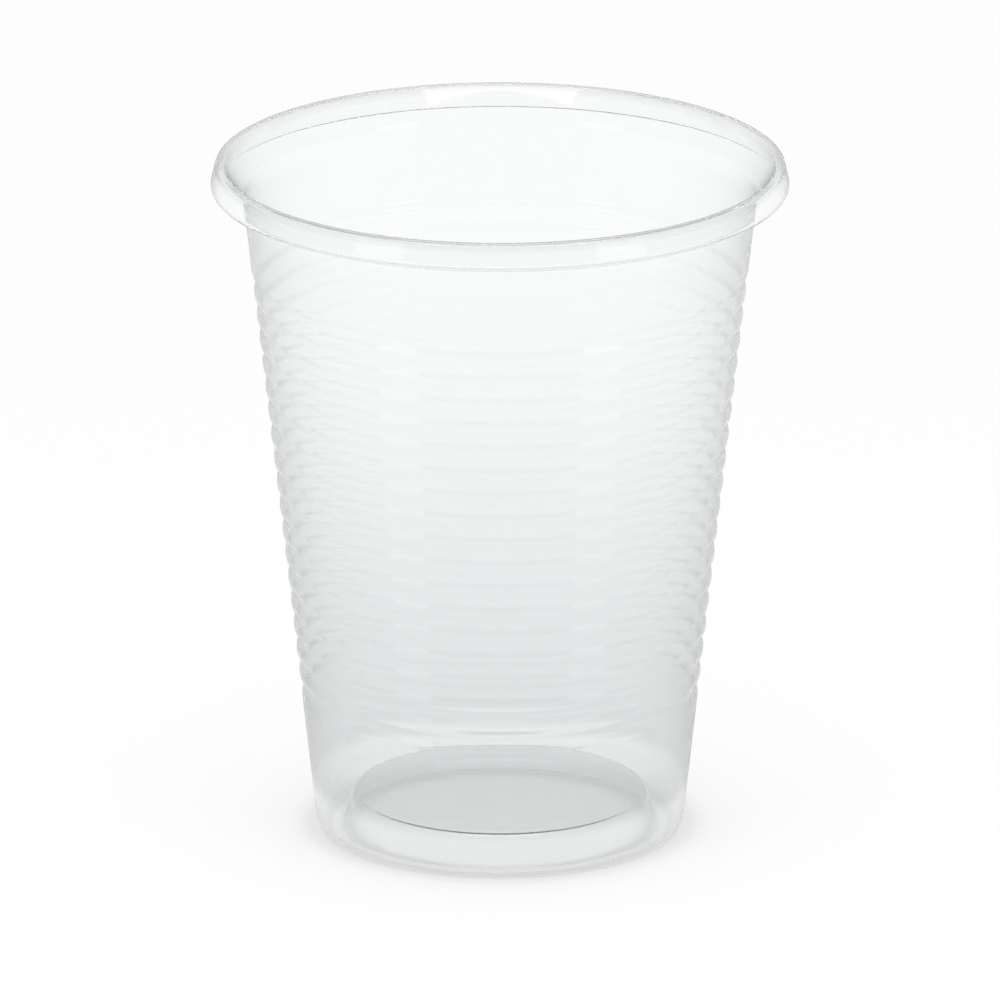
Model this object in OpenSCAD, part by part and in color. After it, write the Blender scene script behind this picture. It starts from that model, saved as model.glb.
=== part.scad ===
// Disposable drinking cup, thermoformed from one thin sheet of clear polypropylene.
// The sheet runs out along a raised base, down to a flat foot ring, round the heel,
// up a tapering side with rounded grooves, and over a rolled rim whose lip turns in.
// The origin is the centre of the foot ring on the ground, with +Z up the cup's axis.

/* [Body] */
// Height from the ground to the top of the rim
cup_h = 84; // [78:0.5:96]
// Outer diameter of the side where it would meet the ground
foot_d = 44.4; // [43:0.2:50]
// Thickness of the sheet in the side
wall_t = 0.22; // [0.18:0.01:0.35]

/* [Grooves] */
// Height of the smooth band between the ground and the first groove
low_band_h = 16.6; // [8:0.2:30]
// Least height of the smooth band between the last groove and the neck
high_band_h = 7.6; // [4:0.2:20]
// Distance from one groove to the next, up the cup
groove_pitch = 3.02; // [2.4:0.02:4]
// Depth of each groove
groove_depth = 0.36; // [0.1:0.02:0.5]

/* [Rim] */
// Outer diameter of the rolled rim
rim_d = 70.2; // [58:0.1:76]
// Distance from the outside of the rim in to the side at the neck, under the rim
neck_inset = 3.9; // [3.3:0.1:6]
// Height of the roll, from the middle of its lip's edge to its top
roll_h = 3.2; // [3:0.1:4.2]
// Thickness of the sheet in the roll
roll_t = 0.3; // [0.2:0.01:0.35]
// Width of the fold along the top of the rim
crown_w = 1.2; // [1.1:0.05:1.6]
// Radius of the bends of that fold, in the middle of the sheet
crown_bend = 0.45; // [0.3:0.05:0.45]
// How far the foot of the skirt stands out beyond the fold
skirt_flare = 0.6; // [0.2:0.1:0.8]
// Radius of the bend at the foot of the skirt, in the middle of the sheet
skirt_bend = 0.6; // [0.4:0.05:0.8]
// How far the lip turns in from the foot of the skirt
lip_in = 0.45; // [0.3:0.05:0.8]
// How far the lip drops from the foot of the skirt to its edge
lip_drop = 0.45; // [0.4:0.05:0.8]
// Drop from the middle of the lip's edge to the neck, where the side starts to flare out
neck_drop = 0.6; // [0.4:0.1:1.5]
// Radius of the bend at the neck, in the middle of the sheet
neck_bend = 2.5; // [1:0.1:3]

/* [Base] */
// Diameter of the raised disc in the middle of the base
disc_d = 36; // [28:0.5:37]
// Height of the raised disc's upper face above the ground
disc_h = 4.4; // [3:0.1:7]
// Thickness of the raised disc
disc_t = 0.35; // [0.25:0.05:0.5]
// Thickness of the sheet in the foot ring
foot_t = 0.3; // [0.2:0.05:0.4]
// Width of the foot ring, between the corners of the sheet
foot_w = 3.4; // [2.8:0.1:4]
// Radius of the heel, in the middle of the sheet
heel_bend = 1.8; // [0.8:0.1:2]
// Radius of the bends at the top and the bottom of the raised disc's side
disc_bend = 0.8; // [0.5:0.1:1]

/* [Hidden] */
// Number of flats that stand for a full turn
$fn = 96;
// Largest turn between two points of a bend, in degrees
bend_step = 15;
// Points in each groove
groove_steps = 6;

// Height of the neck, and the outer diameter of the side there
neck_z = cup_h - roll_h - neck_drop;
neck_d = rim_d - 2 * neck_inset;
// Lean of the side from the upright, in degrees
side_lean = atan2((neck_d - foot_d) / 2, neck_z);
// Radius of the middle of the sheet in the side, where it would meet the ground
side_r0 = foot_d / 2 - wall_t / 2 / cos(side_lean);

// Number of whole grooves that fit between the two smooth bands
groove_n = floor((neck_z - low_band_h - high_band_h) / groove_pitch);

// Radius of the middle of the sheet in the side, at a height
function side_r(z) = side_r0 + z * tan(side_lean);

// Direction of travel from one corner to the next, in degrees
function heading(a, b) = atan2(b[1] - a[1], b[0] - a[0]);

// Turn from one heading to another, the short way round
function turn_between(h1, h2) = (h2 - h1 + 540) % 360 - 180;

// One bend of the sheet: points along an arc, each as [radius, height, heading, thickness].
// A corner is [radius, height, thickness, bend radius].
function bend(before, corner, after) =
    let (
        h1 = heading(before, corner),
        turn = turn_between(h1, heading(corner, after)),
        side = sign(turn),
        reach = corner[3] * tan(abs(turn) / 2),
        start = [corner[0] - reach * cos(h1), corner[1] - reach * sin(h1)],
        centre = [start[0] - side * corner[3] * sin(h1), start[1] + side * corner[3] * cos(h1)],
        steps = ceil(abs(turn) / bend_step)
    )
    [for (i = [0:steps])
        let (h = h1 + turn * i / steps)
        [centre[0] + side * corner[3] * sin(h), centre[1] - side * corner[3] * cos(h), h, corner[2]]];

// The run of grooves up the side, as points of the middle of the sheet.
// Each groove sinks in from the side as one wave of a cosine and comes back flush.
function grooves() =
    [for (i = [0:groove_n * groove_steps])
        let (
            wave = 360 * i / groove_steps,
            z = low_band_h + groove_pitch * i / groove_steps,
            sink = groove_depth * (1 - cos(wave)) / 2,
            slope = groove_depth * PI / groove_pitch * sin(wave)
        )
        [side_r(z) - sink * cos(side_lean), z + sink * sin(side_lean), 90 - side_lean + atan(slope), wall_t]];

// Corners of the base, from the axis to the heel
axis_top = [0, disc_h - disc_t / 2, disc_t];
disc_edge = [disc_d / 2, disc_h - disc_t / 2, disc_t, disc_bend];
heel = [side_r(foot_t / 2), foot_t / 2, foot_t, heel_bend];
foot_edge = [heel[0] - foot_w, foot_t / 2, foot_t, disc_bend];

// Corners of the rim, from the neck over the fold, down the leaning skirt and in to the lip's edge
crown_r = rim_d / 2 - skirt_flare;
neck = [side_r(neck_z), neck_z, wall_t, neck_bend];
crown_in = [crown_r - crown_w + roll_t / 2, cup_h - roll_t / 2, roll_t, crown_bend];
crown_out = [crown_r - roll_t / 2, cup_h - roll_t / 2, roll_t, crown_bend];
skirt_foot = [rim_d / 2 - roll_t / 2, cup_h - roll_h + lip_drop, roll_t, skirt_bend];
lip = [skirt_foot[0] - lip_in, cup_h - roll_h];

// The whole path of the sheet, in the middle of its thickness
sheet = concat(
    [[axis_top[0], axis_top[1], 0, disc_t]],
    bend(axis_top, disc_edge, foot_edge),
    bend(disc_edge, foot_edge, heel),
    bend(foot_edge, heel, neck),
    grooves(),
    bend(heel, neck, crown_in),
    bend(neck, crown_in, crown_out),
    bend(crown_in, crown_out, skirt_foot),
    bend(crown_out, skirt_foot, lip),
    [[lip[0], lip[1], heading(skirt_foot, lip), roll_t]]
);

// One face of the sheet: 1 is the face on the left of the path, inside the cup, and -1 the other
function face(side) =
    [for (p = sheet) [p[0] - side * p[3] / 2 * sin(p[2]), p[1] + side * p[3] / 2 * cos(p[2])]];

// The points of a list in the opposite order
function reversed(list) = [for (i = [len(list) - 1:-1:0]) list[i]];

module cup() {
    color("WhiteSmoke", 0.4)
        rotate_extrude()
            polygon(concat(face(1), reversed(face(-1))));
}

cup();
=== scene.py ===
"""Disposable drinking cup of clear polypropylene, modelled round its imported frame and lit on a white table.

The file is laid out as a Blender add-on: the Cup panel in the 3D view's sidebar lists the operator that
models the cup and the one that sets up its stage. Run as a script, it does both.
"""

import math
from collections import namedtuple

import bpy
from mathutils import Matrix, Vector


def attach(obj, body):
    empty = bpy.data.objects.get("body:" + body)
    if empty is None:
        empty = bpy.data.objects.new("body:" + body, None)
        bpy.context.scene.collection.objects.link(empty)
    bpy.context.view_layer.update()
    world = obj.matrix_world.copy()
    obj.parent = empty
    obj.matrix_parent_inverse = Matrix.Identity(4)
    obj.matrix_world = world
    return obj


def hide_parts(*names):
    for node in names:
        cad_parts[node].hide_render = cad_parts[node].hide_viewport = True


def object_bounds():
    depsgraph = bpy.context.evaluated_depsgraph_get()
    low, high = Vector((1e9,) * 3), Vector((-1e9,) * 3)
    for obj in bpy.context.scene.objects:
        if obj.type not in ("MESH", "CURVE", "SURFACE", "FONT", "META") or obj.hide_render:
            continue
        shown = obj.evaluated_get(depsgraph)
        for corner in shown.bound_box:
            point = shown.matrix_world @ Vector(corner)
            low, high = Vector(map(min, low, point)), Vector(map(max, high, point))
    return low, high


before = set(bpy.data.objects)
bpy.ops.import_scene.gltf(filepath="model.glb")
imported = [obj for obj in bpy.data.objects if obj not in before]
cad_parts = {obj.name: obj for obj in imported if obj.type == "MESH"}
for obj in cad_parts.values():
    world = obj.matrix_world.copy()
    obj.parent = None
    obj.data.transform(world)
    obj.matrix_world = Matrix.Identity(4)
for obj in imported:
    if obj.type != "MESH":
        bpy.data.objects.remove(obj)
cad_low, cad_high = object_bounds()

bl_info = {
    "name": "Disposable Drinking Cup",
    "version": (1, 0, 0),
    "blender": (4, 5, 0),
    "location": "View3D > Sidebar > Cup",
    "description": "Models a thermoformed cup of clear plastic and sets it on a white table",
    "category": "Add Mesh",
}

MM = 0.001
FULL_TURN = 2 * math.pi
HALF_TURN = math.pi
# Heading of a path that goes straight up
STRAIGHT_UP = math.pi / 2
UP = Vector((0, 0, 1))
# Points closer than this are one point
SAME_POINT = 0.001 * MM
# Edges that turn more than this stay sharp
CREASE = math.radians(40)
# The sRGB curve: full value of a channel, the end of its straight part, and the terms of each part
SRGB_FULL = 255
SRGB_TOE = 0.04045
SRGB_SLOPE = 12.92
SRGB_OFFSET = 0.055
SRGB_POWER = 2.4

# A corner of the sheet: radius and height of the middle of the sheet, its thickness and its bend's radius
Corner = namedtuple("Corner", "r z thickness bend")
# A point of the sheet: radius and height of its middle, the way the path heads there and the thickness
SheetPoint = namedtuple("SheetPoint", "r z heading thickness")


def length(name, description, default):
    """A property for a length in metres."""
    return bpy.props.FloatProperty(
        name=name, description=description, default=default, min=0, unit="LENGTH")


def angle(name, description, degrees):
    """A property for an angle, given in degrees and kept in radians."""
    return bpy.props.FloatProperty(
        name=name, description=description, default=math.radians(degrees), subtype="ANGLE")


def share(name, description, default):
    """A property for a share between none and all."""
    return bpy.props.FloatProperty(
        name=name, description=description, default=default, min=0, max=1, subtype="FACTOR")


def number(name, description, default):
    """A property for a plain number that isn't negative."""
    return bpy.props.FloatProperty(name=name, description=description, default=default, min=0)


def count(name, description, default, least):
    """A property for a whole number."""
    return bpy.props.IntProperty(name=name, description=description, default=default, min=least)


def power(name, description, default):
    """A property for a lamp's power in watts."""
    return bpy.props.FloatProperty(
        name=name, description=description, default=default, min=0, subtype="POWER")


def hex_colour(name, description, default):
    """A property for a colour, given as an sRGB hex value."""
    return bpy.props.StringProperty(name=name, description=description, default=default)


class CupSizes(bpy.types.PropertyGroup):
    """Sizes of the cup. The height and the rim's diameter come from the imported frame."""

    height: length("Height", "From the table to the top of the rim", cad_high.z - cad_low.z)
    rim_d: length("Rim diameter", "Across the outside of the rolled rim", cad_high.x - cad_low.x)
    foot_d: length("Foot diameter", "Across the side where it would meet the table", 44.4 * MM)
    wall_t: length("Wall thickness", "Thickness of the sheet in the side", 0.22 * MM)
    low_band_h: length("Low band", "Smooth band between the table and the first groove", 16.6 * MM)
    high_band_h: length("High band", "Least smooth band between the last groove and the neck", 7.6 * MM)
    groove_pitch: length("Groove pitch", "From one groove to the next", 3.02 * MM)
    groove_depth: length("Groove depth", "Depth of each groove", 0.36 * MM)
    neck_inset: length("Neck inset", "From the outside of the rim in to the side at the neck", 3.9 * MM)
    roll_h: length("Roll height", "From the middle of the lip's edge to the top of the roll", 3.2 * MM)
    roll_t: length("Roll thickness", "Thickness of the sheet in the roll", 0.3 * MM)
    crown_w: length("Crown width", "Width of the fold along the top of the rim", 1.2 * MM)
    crown_bend: length("Crown bend", "Radius of the bends of that fold", 0.45 * MM)
    skirt_flare: length("Skirt flare", "How far the skirt's foot stands out beyond the fold", 0.6 * MM)
    skirt_bend: length("Skirt bend", "Radius of the bend at the skirt's foot", 0.6 * MM)
    lip_in: length("Lip reach", "How far the lip turns in from the skirt's foot", 0.45 * MM)
    lip_drop: length("Lip drop", "How far the lip drops from the skirt's foot to its edge", 0.45 * MM)
    neck_drop: length("Neck drop", "From the middle of the lip's edge down to the neck", 0.6 * MM)
    neck_bend: length("Neck bend", "Radius of the bend where the side starts to flare", 2.5 * MM)
    disc_d: length("Disc diameter", "Diameter of the raised disc in the base", 36 * MM)
    disc_h: length("Disc height", "Height of the raised disc's upper face", 4.4 * MM)
    disc_t: length("Disc thickness", "Thickness of the raised disc", 0.35 * MM)
    foot_t: length("Foot thickness", "Thickness of the sheet in the foot ring", 0.3 * MM)
    foot_w: length("Foot width", "Width of the foot ring between its corners", 3.4 * MM)
    heel_bend: length("Heel bend", "Radius of the heel", 1.8 * MM)
    disc_bend: length("Disc bend", "Radius of the bends of the raised disc's side", 0.8 * MM)
    turn_steps: count("Turn steps", "Flats in a full turn", 180, 24)
    groove_steps: count("Groove steps", "Points in a groove", 10, 6)
    bend_step: angle("Bend step", "Largest turn between two points of a bend", 9)


class CupFinish(bpy.types.PropertyGroup):
    """Colours of the clear sheet, with painted shade low on its side, and how cloudy it is."""

    # Painted shade: the side's tint greys towards the bottom, standing in for the shaded table seen through
    # the sheet, and is lifted again in the base. The faint green-grey cast is the plastic's own.
    upper_tint: hex_colour("Upper tint", "What one layer of the thin upper side lets through", "#FEFFFF")
    lower_tint_and_shade: hex_colour("Lower tint", "What one layer of the thicker lower side lets through", "#ECEEEE")
    painted_shade_top: length("Tint top", "Height from which the side has its upper tint", 70 * MM)
    base_low: length("Base's low end", "Height up to which the base is clearest", 4.5 * MM)
    base_high: length("Base's high end", "Height from which the side has its full tint", 7 * MM)
    base_shade_lift: share("Base clearness", "How far the base's tint goes back to the upper tint", 0.95)
    haze_colour: hex_colour("Haze colour", "Colour of the light that the sheet scatters", "#C4C8C6")
    haze: share("Haze", "Share of light that the sheet scatters all over", 0.005)
    edge_haze: share("Edge haze", "Share of light that the side scatters where it is seen edge on", 0.58)
    edge_power: number("Edge power", "How close to its outline the sheet turns grey", 3)
    side_low: length("Side's low end", "Height up to which the edge haze is that of the base", 4.5 * MM)
    side_high: length("Side's high end", "Height above which the edge haze goes over to the rim's", 77 * MM)
    side_fade: length("Side's fade", "Height over which each of these changes is spread", 4 * MM)
    base_haze: share("Base haze", "Share of the edge haze that the base keeps", 0.2)
    rim_haze: share("Rim haze", "Share of light that the rim scatters where it is seen edge on", 1)
    rim_power: number("Rim power", "How close to its outline the rim turns grey", 7)
    crown_low: length("Crown's low end", "Height above which the rim's fold grows cloudy", 82.8 * MM)
    crown_high: length("Crown's high end", "Height from which the rim's fold is cloudiest", 83.3 * MM)
    crown_haze: share("Crown haze", "Share of light that the rim's fold scatters", 0.06)
    roughness: share("Roughness", "Roughness of the moulded surface", 0.04)
    ior: number("Index of refraction", "How strongly polypropylene bends light", 1.49)
    ripple_w: length("Ripple width", "Width of the slight waves that the draw leaves in the sheet", 9 * MM)
    ripple_h: length("Ripple height", "Height of those waves", 0.01 * MM)
    ripple_detail: number("Ripple detail", "Finer waves on top of the widest ones", 2)
    shadow_tint: hex_colour("Shadow tint", "What a face of the sheet lets through to the table", "#FCFCFC")
    edge_shadow: hex_colour("Edge shadow", "What the side lets through where the light grazes it", "#F0F0F0")
    heel_shadow: hex_colour("Heel shadow", "What the heel lets through where the light grazes it", "#303030")


class CupStage(bpy.types.PropertyGroup):
    """Camera, lamps and table."""

    elevation: angle("Camera elevation", "Angle of the camera above the horizon", 17.5)
    distance: length("Camera distance", "From the camera to the middle of the cup", 3.0)
    aim_h: length("Aim height", "Height of the point in the middle of the picture", 41.2 * MM)
    view_w: length("View width", "Width of the picture at the cup", 121.4 * MM)
    table_size: length("Table size", "Width of the square table", 12.0)
    table_colour: hex_colour("Table colour", "Matt white of the table", "#FAFAFA")
    table_glow: share("Table glow", "Share of the table's white that no shadow takes away", 0.5)
    far_glow: share("Far glow", "The same share far from the cup, where less light of the lamps falls", 0.85)
    glow_near: length("Glow's near end", "Distance from the cup at which that share starts to grow", 80 * MM)
    glow_far: length("Glow's far end", "Distance from the cup at which it stops growing", 360 * MM)
    fill_light: number("Fill light", "Light from all round the studio", 0.5)
    top_watts: power("Top softbox", "Power of the softbox overhead", 13)
    top_elevation: angle("Top elevation", "Angle of the softbox overhead above the horizon", 80)
    top_distance: length("Top distance", "From the cup to the softbox overhead", 1.2)
    top_size: length("Top size", "Width of the softbox overhead", 1.2)
    front_watts: power("Front softboxes", "Power of each softbox in front of the cup", 0.6)
    front_azimuth: angle("Front azimuth", "Angle of each front softbox from the line to the camera", 48)
    front_elevation: angle("Front elevation", "Angle of the front softboxes above the horizon", 12)
    front_distance: length("Front distance", "From the cup to each front softbox", 1.0)
    front_w: length("Front width", "Width of each front softbox", 0.35)
    front_h: length("Front height", "Height of each front softbox", 0.5)
    room_colour: hex_colour("Room colour", "Grey of the cloth round the room", "#C8C8C8")
    room_r: length("Room radius", "From the cup to the cloth", 1.6)
    room_h: length("Room height", "Height of the cloth", 0.9)
    room_sides: count("Room sides", "Flats of the cloth round the room", 64, 12)
    bounces: count("Bounces", "Bounces of the light, many of which a thin clear sheet takes up", 40, 12)


def heading(a, b):
    """Direction from one corner to the next in the section, in radians."""
    return math.atan2(b.z - a.z, b.r - a.r)


def turn_between(start_heading, end_heading):
    """Turn from one heading to another, the short way round."""
    return (end_heading - start_heading + FULL_TURN + HALF_TURN) % FULL_TURN - HALF_TURN


def bend(before, corner, after, step):
    """Points along the arc that rounds a corner of the sheet."""
    start_heading = heading(before, corner)
    turn = turn_between(start_heading, heading(corner, after))
    side = math.copysign(1, turn)
    reach = corner.bend * math.tan(abs(turn) / 2)
    start_r = corner.r - reach * math.cos(start_heading)
    start_z = corner.z - reach * math.sin(start_heading)
    centre_r = start_r - side * corner.bend * math.sin(start_heading)
    centre_z = start_z + side * corner.bend * math.cos(start_heading)
    steps = math.ceil(abs(turn) / step)
    points = []
    for i in range(steps + 1):
        h = start_heading + turn * i / steps
        r = centre_r + side * corner.bend * math.sin(h)
        z = centre_z - side * corner.bend * math.cos(h)
        points.append(SheetPoint(r, z, h, corner.thickness))
    return points


def side_line(sizes):
    """Lean of the side from the upright, radius of its middle at the table, and height of the neck."""
    neck_z = sizes.height - sizes.roll_h - sizes.neck_drop
    neck_d = sizes.rim_d - 2 * sizes.neck_inset
    lean = math.atan2((neck_d - sizes.foot_d) / 2, neck_z)
    r0 = sizes.foot_d / 2 - sizes.wall_t / 2 / math.cos(lean)
    return lean, r0, neck_z


def grooves(sizes):
    """Points of the run of grooves. Each one sinks in as a wave of a cosine and comes back flush."""
    lean, r0, neck_z = side_line(sizes)
    room = neck_z - sizes.low_band_h - sizes.high_band_h
    groove_n = math.floor(room / sizes.groove_pitch)
    points = []
    for i in range(groove_n * sizes.groove_steps + 1):
        wave = FULL_TURN * i / sizes.groove_steps
        z = sizes.low_band_h + sizes.groove_pitch * i / sizes.groove_steps
        sink = sizes.groove_depth * (1 - math.cos(wave)) / 2
        slope = sizes.groove_depth * math.pi / sizes.groove_pitch * math.sin(wave)
        r = r0 + z * math.tan(lean) - sink * math.cos(lean)
        h = STRAIGHT_UP - lean + math.atan(slope)
        points.append(SheetPoint(r, z + sink * math.sin(lean), h, sizes.wall_t))
    return points


def base_corners(sizes):
    """Corners of the sheet from the axis to the heel."""
    lean, r0, _ = side_line(sizes)
    disc_z = sizes.disc_h - sizes.disc_t / 2
    foot_z = sizes.foot_t / 2
    heel_r = r0 + foot_z * math.tan(lean)
    return [
        Corner(0, disc_z, sizes.disc_t, 0),
        Corner(sizes.disc_d / 2, disc_z, sizes.disc_t, sizes.disc_bend),
        Corner(heel_r - sizes.foot_w, foot_z, sizes.foot_t, sizes.disc_bend),
        Corner(heel_r, foot_z, sizes.foot_t, sizes.heel_bend),
    ]


def rim_corners(sizes):
    """Corners of the sheet from the neck over the fold, down the skirt and in to the lip's edge."""
    lean, r0, neck_z = side_line(sizes)
    half_t = sizes.roll_t / 2
    crown_r = sizes.rim_d / 2 - sizes.skirt_flare
    crown_z = sizes.height - half_t
    lip_z = sizes.height - sizes.roll_h
    neck = Corner(r0 + neck_z * math.tan(lean), neck_z, sizes.wall_t, sizes.neck_bend)
    crown_in = Corner(crown_r - sizes.crown_w + half_t, crown_z, sizes.roll_t, sizes.crown_bend)
    crown_out = Corner(crown_r - half_t, crown_z, sizes.roll_t, sizes.crown_bend)
    skirt_foot = Corner(sizes.rim_d / 2 - half_t, lip_z + sizes.lip_drop, sizes.roll_t, sizes.skirt_bend)
    lip = Corner(skirt_foot.r - sizes.lip_in, lip_z, sizes.roll_t, 0)
    return [neck, crown_in, crown_out, skirt_foot, lip]


def sheet_path(sizes):
    """Points of the middle of the sheet, from the axis out along the base and up to the lip."""
    base = base_corners(sizes)
    rim = rim_corners(sizes)
    corners = base + rim
    heel_index = len(base) - 1
    points = [SheetPoint(base[0].r, base[0].z, 0, base[0].thickness)]
    for i in range(1, len(corners) - 1):
        points += bend(corners[i - 1], corners[i], corners[i + 1], sizes.bend_step)
        if i == heel_index:
            points += grooves(sizes)
    skirt_foot, lip = rim[-2:]
    points.append(SheetPoint(lip.r, lip.z, heading(skirt_foot, lip), lip.thickness))
    return points


def section_outline(sizes):
    """Outline of the cup's section, out along the inner face of the sheet and back along the outer one."""
    path = sheet_path(sizes)
    faces = []
    for side in (1, -1):
        face = []
        for p in path:
            offset = side * p.thickness / 2
            face.append(Vector((p.r - offset * math.sin(p.heading), 0, p.z + offset * math.cos(p.heading))))
        faces.append(face)
    inner, outer = faces
    return inner + outer[::-1]


def deselect_all():
    """Leaves nothing selected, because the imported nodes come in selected."""
    bpy.ops.object.select_all(action="DESELECT")


def turn_section(name, outline, steps):
    """Extrudes a point along an outline that starts and ends on the axis, and spins it round the axis."""
    deselect_all()
    bpy.ops.mesh.primitive_plane_add(size=MM)
    cup = bpy.context.object
    cup.name = name
    cup.data.name = name
    bpy.ops.object.mode_set(mode="EDIT")
    bpy.ops.mesh.select_all(action="SELECT")
    bpy.ops.mesh.merge(type="CENTER")
    bpy.ops.transform.translate(value=outline[0])
    for a, b in zip(outline, outline[1:]):
        bpy.ops.mesh.extrude_region_move(TRANSFORM_OT_translate={"value": b - a})
    bpy.ops.mesh.select_all(action="SELECT")
    bpy.ops.mesh.spin(steps=steps, angle=FULL_TURN, center=(0, 0, 0), axis=UP)
    bpy.ops.mesh.select_all(action="SELECT")
    bpy.ops.mesh.remove_doubles(threshold=SAME_POINT)
    bpy.ops.mesh.normals_make_consistent(inside=False)
    bpy.ops.object.mode_set(mode="OBJECT")
    bpy.ops.object.shade_smooth_by_angle(angle=CREASE)
    return cup


def linear_colour(hex_value):
    """An sRGB hex colour as the linear numbers that a shader takes."""
    linear = []
    for channel in (hex_value[1:3], hex_value[3:5], hex_value[5:7]):
        value = int(channel, 16) / SRGB_FULL
        if value <= SRGB_TOE:
            linear.append(value / SRGB_SLOPE)
        else:
            linear.append(((value + SRGB_OFFSET) / (1 + SRGB_OFFSET)) ** SRGB_POWER)
    return linear + [1]


def add_node(tree, kind, inputs=None, **settings):
    """Adds a node, sets its own settings, and fills its inputs with values or links them to outputs."""
    node = tree.nodes.new(kind)
    for name, value in settings.items():
        setattr(node, name, value)
    for name, value in (inputs or {}).items():
        socket = node.inputs[name]
        if isinstance(value, bpy.types.NodeSocket):
            tree.links.new(value, socket)
        else:
            socket.default_value = value
    return node


def lens_rays(tree):
    """One for rays that carry what a lens sees, also off and through the clear sheet, else nought."""
    path = add_node(tree, "ShaderNodeLightPath").outputs
    mirrored = add_node(tree, "ShaderNodeMath", {
        0: path["Is Camera Ray"],
        1: path["Is Glossy Ray"]}, operation="MAXIMUM")
    passed = add_node(tree, "ShaderNodeMath", {
        0: mirrored.outputs[0],
        1: path["Is Transmission Ray"]}, operation="MAXIMUM")
    return passed.outputs[0]


def new_material(name):
    """A material with an empty node tree."""
    material = bpy.data.materials.new(name)
    material.use_nodes = True
    material.node_tree.nodes.clear()
    return material


def haze_share(tree, finish, height, facing):
    """Share of light that the sheet scatters: most where the side is seen edge on, and some in the fold."""
    from_base = add_node(tree, "ShaderNodeMapRange", {
        "Value": height,
        "From Min": finish.side_low,
        "From Max": finish.side_low + finish.side_fade,
        "To Min": finish.edge_haze * finish.base_haze,
        "To Max": finish.edge_haze}, interpolation_type="SMOOTHSTEP")
    to_rim = add_node(tree, "ShaderNodeMapRange", {
        "Value": height,
        "From Min": finish.side_high,
        "From Max": finish.side_high + finish.side_fade,
        "To Min": 1,
        "To Max": finish.rim_haze / finish.edge_haze}, interpolation_type="SMOOTHSTEP")
    steepness = add_node(tree, "ShaderNodeMapRange", {
        "Value": height,
        "From Min": finish.side_high,
        "From Max": finish.side_high + finish.side_fade,
        "To Min": finish.edge_power,
        "To Max": finish.rim_power}, interpolation_type="SMOOTHSTEP")
    in_fold = add_node(tree, "ShaderNodeMapRange", {
        "Value": height,
        "From Min": finish.crown_low,
        "From Max": finish.crown_high,
        "To Min": finish.haze,
        "To Max": finish.crown_haze}, interpolation_type="SMOOTHSTEP")
    edge_haze = add_node(tree, "ShaderNodeMath", {
        0: from_base.outputs["Result"],
        1: to_rim.outputs["Result"]}, operation="MULTIPLY")
    edge_on = add_node(tree, "ShaderNodeMath", {
        0: facing,
        1: steepness.outputs["Result"]}, operation="POWER")
    share_of_light = add_node(tree, "ShaderNodeMath", {
        0: edge_on.outputs[0],
        1: edge_haze.outputs[0],
        2: in_fold.outputs["Result"]}, operation="MULTIPLY_ADD")
    return share_of_light.outputs[0]


def clear_sheet(tree, finish, place, height, in_base):
    """The clear plastic itself, with its tint, painted shade that greys it towards the bottom, and the slight
    waves that the draw leaves.
    """
    # Painted shade: the tint is greyest low on the side, fades out towards the top and is taken back in the
    # base.
    shade_fade = add_node(tree, "ShaderNodeMapRange", {
        "Value": height,
        "From Max": finish.painted_shade_top}, interpolation_type="SMOOTHSTEP")
    shade_lift = add_node(tree, "ShaderNodeMath", {
        0: in_base,
        1: finish.base_shade_lift,
        2: shade_fade.outputs["Result"]}, operation="MULTIPLY_ADD")
    tint = add_node(tree, "ShaderNodeMix", {
        "Factor": shade_lift.outputs[0],
        "A": linear_colour(finish.lower_tint_and_shade),
        "B": linear_colour(finish.upper_tint)}, data_type="RGBA")
    ripple = add_node(tree, "ShaderNodeTexNoise", {
        "Vector": place,
        "Scale": 1 / finish.ripple_w,
        "Detail": finish.ripple_detail})
    bump = add_node(tree, "ShaderNodeBump", {
        "Height": ripple.outputs["Fac"],
        "Distance": finish.ripple_h})
    clear = add_node(tree, "ShaderNodeBsdfPrincipled", {
        "Base Color": tint.outputs["Result"],
        "Roughness": finish.roughness,
        "IOR": finish.ior,
        "Transmission Weight": 1,
        "Normal": bump.outputs["Normal"]})
    return clear.outputs[0]


def scattering_sheet(tree, finish):
    """The haze in the plastic, which throws light back and on alike."""
    back = add_node(tree, "ShaderNodeBsdfDiffuse", {"Color": linear_colour(finish.haze_colour)})
    on = add_node(tree, "ShaderNodeBsdfTranslucent", {"Color": linear_colour(finish.haze_colour)})
    haze = add_node(tree, "ShaderNodeMixShader", {1: back.outputs[0], 2: on.outputs[0]})
    return haze.outputs[0]


def shadow_sheet(tree, finish, facing, in_base):
    """What the sheet lets through to the table: nearly all, but less through the heel's steep faces."""
    grazed = add_node(tree, "ShaderNodeMix", {
        "Factor": in_base,
        "A": linear_colour(finish.edge_shadow),
        "B": linear_colour(finish.heel_shadow)}, data_type="RGBA")
    shade = add_node(tree, "ShaderNodeMix", {
        "Factor": facing,
        "A": linear_colour(finish.shadow_tint),
        "B": grazed.outputs["Result"]}, data_type="RGBA")
    passing = add_node(tree, "ShaderNodeBsdfTransparent", {"Color": shade.outputs["Result"]})
    return passing.outputs[0]


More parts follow.
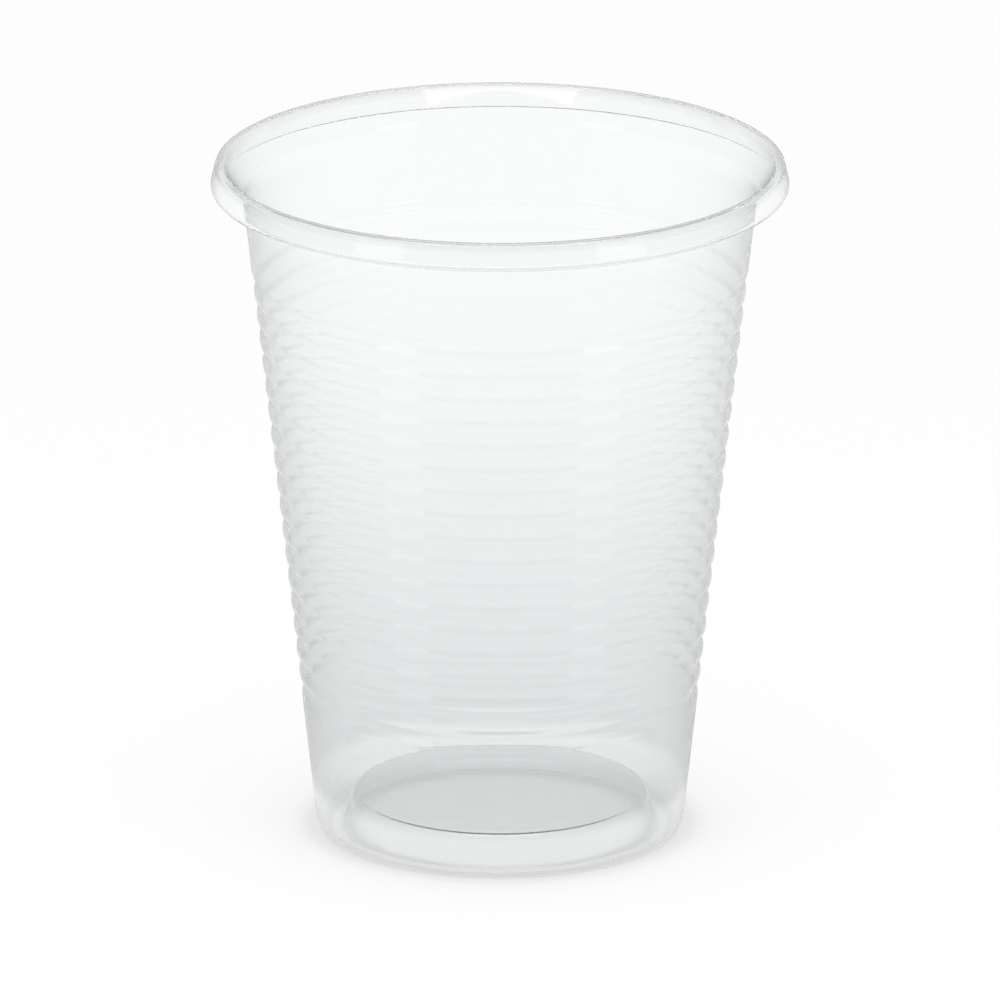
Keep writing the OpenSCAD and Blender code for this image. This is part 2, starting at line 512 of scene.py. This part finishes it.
def thermoformed_polypropylene(finish):
    """Clear polypropylene, drawn from one hot sheet.

    To the eye it is clear with a faint milkiness and a faint green-grey cast. Painted shade greys the side
    towards the bottom, standing in for the shaded table seen through the sheet, and is lifted again in the
    base, so the upper side is almost colourless. Where the side is seen edge on it scatters more light, and
    its outline turns grey.
    """
    material = new_material("thermoformed_polypropylene")
    tree = material.node_tree
    place = add_node(tree, "ShaderNodeTexCoord").outputs["Object"]
    height = add_node(tree, "ShaderNodeSeparateXYZ", {"Vector": place}).outputs["Z"]
    facing = add_node(tree, "ShaderNodeLayerWeight").outputs["Facing"]
    # Mask of the base: there the painted shade is lifted, and the heel casts a darker shadow.
    in_base = add_node(tree, "ShaderNodeMapRange", {
        "Value": height,
        "From Min": finish.base_low,
        "From Max": finish.base_high,
        "To Min": 1,
        "To Max": 0}, interpolation_type="SMOOTHSTEP").outputs["Result"]
    sheet = add_node(tree, "ShaderNodeMixShader", {
        0: haze_share(tree, finish, height, facing),
        1: clear_sheet(tree, finish, place, height, in_base),
        2: scattering_sheet(tree, finish)})
    path = add_node(tree, "ShaderNodeLightPath").outputs
    lamp_ray = add_node(tree, "ShaderNodeMath", {
        0: path["Is Shadow Ray"],
        1: path["Is Diffuse Ray"]}, operation="MAXIMUM")
    surface = add_node(tree, "ShaderNodeMixShader", {
        0: lamp_ray.outputs[0],
        1: sheet.outputs[0],
        2: shadow_sheet(tree, finish, facing, in_base)})
    add_node(tree, "ShaderNodeOutputMaterial", {"Surface": surface.outputs[0]})
    return material


def white_table(stage):
    """Matt white table. The lens sees part of its white as light of its own.

    That keeps the shadow soft, and the table stays white where the light of the lamps falls off.
    """
    material = new_material("matt_white_table")
    tree = material.node_tree
    place = add_node(tree, "ShaderNodeTexCoord").outputs["Object"]
    away = add_node(tree, "ShaderNodeVectorMath", {0: place}, operation="LENGTH").outputs["Value"]
    own_light = add_node(tree, "ShaderNodeMapRange", {
        "Value": away,
        "From Min": stage.glow_near,
        "From Max": stage.glow_far,
        "To Min": stage.table_glow,
        "To Max": stage.far_glow})
    lit = add_node(tree, "ShaderNodeBsdfDiffuse", {"Color": linear_colour(stage.table_colour)})
    glow = add_node(tree, "ShaderNodeEmission", {"Strength": 1})
    glow_share = add_node(tree, "ShaderNodeMath", {
        0: lens_rays(tree),
        1: own_light.outputs["Result"]}, operation="MULTIPLY")
    surface = add_node(tree, "ShaderNodeMixShader", {
        0: glow_share.outputs[0],
        1: lit.outputs[0],
        2: glow.outputs[0]})
    add_node(tree, "ShaderNodeOutputMaterial", {"Surface": surface.outputs[0]})
    return material


def grey_cloth(stage):
    """Evenly lit grey cloth, which gives the clear faces something darker than white to mirror."""
    material = new_material("grey_cloth")
    tree = material.node_tree
    cloth = add_node(tree, "ShaderNodeEmission", {"Color": linear_colour(stage.room_colour)})
    add_node(tree, "ShaderNodeOutputMaterial", {"Surface": cloth.outputs[0]})
    return material


def add_table(stage):
    """The table, a large square sheet whose edges no view reaches."""
    deselect_all()
    bpy.ops.mesh.primitive_plane_add(size=stage.table_size)
    table = bpy.context.object
    table.name = "table"
    table.data.materials.append(white_table(stage))


def add_room(stage):
    """The room round the table, a low ring of grey cloth that only mirrored rays meet."""
    deselect_all()
    bpy.ops.mesh.primitive_cylinder_add(
        vertices=stage.room_sides, radius=stage.room_r, depth=stage.room_h, end_fill_type="NOTHING",
        location=UP * stage.room_h / 2)
    room = bpy.context.object
    room.name = "room"
    room.data.materials.append(grey_cloth(stage))
    room.visible_camera = False
    room.visible_diffuse = False
    room.visible_transmission = False
    room.visible_shadow = False


def white_studio(stage):
    """A studio that the lens sees as white and that lights the cup evenly from all round."""
    world = bpy.data.worlds.new("white_studio")
    bpy.context.scene.world = world
    world.use_nodes = True
    tree = world.node_tree
    tree.nodes.clear()
    seen = add_node(tree, "ShaderNodeBackground", {"Strength": 1})
    fill = add_node(tree, "ShaderNodeBackground", {"Strength": stage.fill_light})
    surface = add_node(tree, "ShaderNodeMixShader", {
        0: lens_rays(tree),
        1: fill.outputs[0],
        2: seen.outputs[0]})
    add_node(tree, "ShaderNodeOutputWorld", {"Surface": surface.outputs[0]})


def direction(azimuth, elevation):
    """Direction away from the cup. Azimuth 0 is towards the camera, and it grows to the camera's right."""
    return Vector((
        math.sin(azimuth) * math.cos(elevation),
        -math.cos(azimuth) * math.cos(elevation),
        math.sin(elevation)))


def add_softbox(name, away, distance, width, height, watts):
    """A rectangular softbox that faces the middle of the cup, and is seen only where a face mirrors it."""
    middle = (cad_low + cad_high) / 2
    deselect_all()
    bpy.ops.object.light_add(type="AREA", location=middle + away * distance)
    lamp = bpy.context.object
    lamp.name = name
    lamp.rotation_euler = (-away).to_track_quat("-Z", "Y").to_euler()
    lamp.data.shape = "RECTANGLE"
    lamp.data.size = width
    lamp.data.size_y = height
    lamp.data.energy = watts
    lamp.visible_camera = False
    lamp.visible_transmission = False


def add_softboxes(stage):
    """One softbox overhead and one on each side in front of the cup."""
    overhead = direction(0, stage.top_elevation)
    add_softbox("top_softbox", overhead, stage.top_distance, stage.top_size, stage.top_size, stage.top_watts)
    for name, side in (("left_softbox", -1), ("right_softbox", 1)):
        away = direction(side * stage.front_azimuth, stage.front_elevation)
        add_softbox(name, away, stage.front_distance, stage.front_w, stage.front_h, stage.front_watts)


def add_camera(stage):
    """A long lens at the angle from which the cup is looked at."""
    aim = UP * stage.aim_h
    away = direction(0, stage.elevation)
    deselect_all()
    bpy.ops.object.camera_add(location=aim + away * stage.distance)
    camera = bpy.context.object
    camera.rotation_euler = (-away).to_track_quat("-Z", "Y").to_euler()
    camera.data.lens = camera.data.sensor_width * stage.distance / stage.view_w
    camera.data.clip_end = stage.distance + stage.table_size
    bpy.context.scene.camera = camera


def set_bounces(cycles, bounces):
    """Lets the light bounce often enough inside the sheet not to turn black there."""
    cycles.max_bounces = bounces
    cycles.glossy_bounces = bounces
    cycles.transmission_bounces = bounces
    cycles.transparent_max_bounces = bounces


class CUP_OT_cup(bpy.types.Operator):
    """Model the cup from its sizes and give it its plastic"""

    bl_idname = "cup.cup"
    bl_label = "Cup"

    def execute(self, context):
        """Model the section, spin it and finish it."""
        sizes = context.scene.cup_sizes
        cup = turn_section("cup_shell", section_outline(sizes), sizes.turn_steps)
        cup.data.materials.append(thermoformed_polypropylene(context.scene.cup_finish))
        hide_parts("cup")
        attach(cup, "root")
        return {"FINISHED"}


class CUP_OT_stage(bpy.types.Operator):
    """Set up the table, the studio's light and the camera"""

    bl_idname = "cup.stage"
    bl_label = "Stage"

    def execute(self, context):
        """Add the table, the room, the world, the softboxes and the camera."""
        stage = context.scene.cup_stage
        add_table(stage)
        white_studio(stage)
        add_softboxes(stage)
        add_room(stage)
        add_camera(stage)
        set_bounces(context.scene.cycles, stage.bounces)
        context.scene.view_settings.view_transform = "Standard"
        return {"FINISHED"}


class CUP_PT_panel(bpy.types.Panel):
    """Sizes, finish and stage of the cup"""

    bl_idname = "CUP_PT_panel"
    bl_label = "Disposable Cup"
    bl_space_type = "VIEW_3D"
    bl_region_type = "UI"
    bl_category = "Cup"

    def draw(self, context):
        """List every setting, with the button of each step below its own settings."""
        layout = self.layout
        scene = context.scene
        for settings in (scene.cup_sizes, scene.cup_finish):
            for name in settings.__annotations__:
                layout.prop(settings, name)
        layout.operator(CUP_OT_cup.bl_idname)
        for name in scene.cup_stage.__annotations__:
            layout.prop(scene.cup_stage, name)
        layout.operator(CUP_OT_stage.bl_idname)


classes = (CupSizes, CupFinish, CupStage, CUP_OT_cup, CUP_OT_stage, CUP_PT_panel)


def register():
    """Register the classes and add their settings to the scene."""
    for cls in classes:
        bpy.utils.register_class(cls)
    bpy.types.Scene.cup_sizes = bpy.props.PointerProperty(type=CupSizes)
    bpy.types.Scene.cup_finish = bpy.props.PointerProperty(type=CupFinish)
    bpy.types.Scene.cup_stage = bpy.props.PointerProperty(type=CupStage)


def unregister():
    """Remove the settings and the classes."""
    del bpy.types.Scene.cup_stage
    del bpy.types.Scene.cup_finish
    del bpy.types.Scene.cup_sizes
    for cls in reversed(classes):
        bpy.utils.unregister_class(cls)


def main():
    """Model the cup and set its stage."""
    register()
    bpy.ops.cup.cup()
    bpy.ops.cup.stage()


if __name__ == "__main__":
    main()
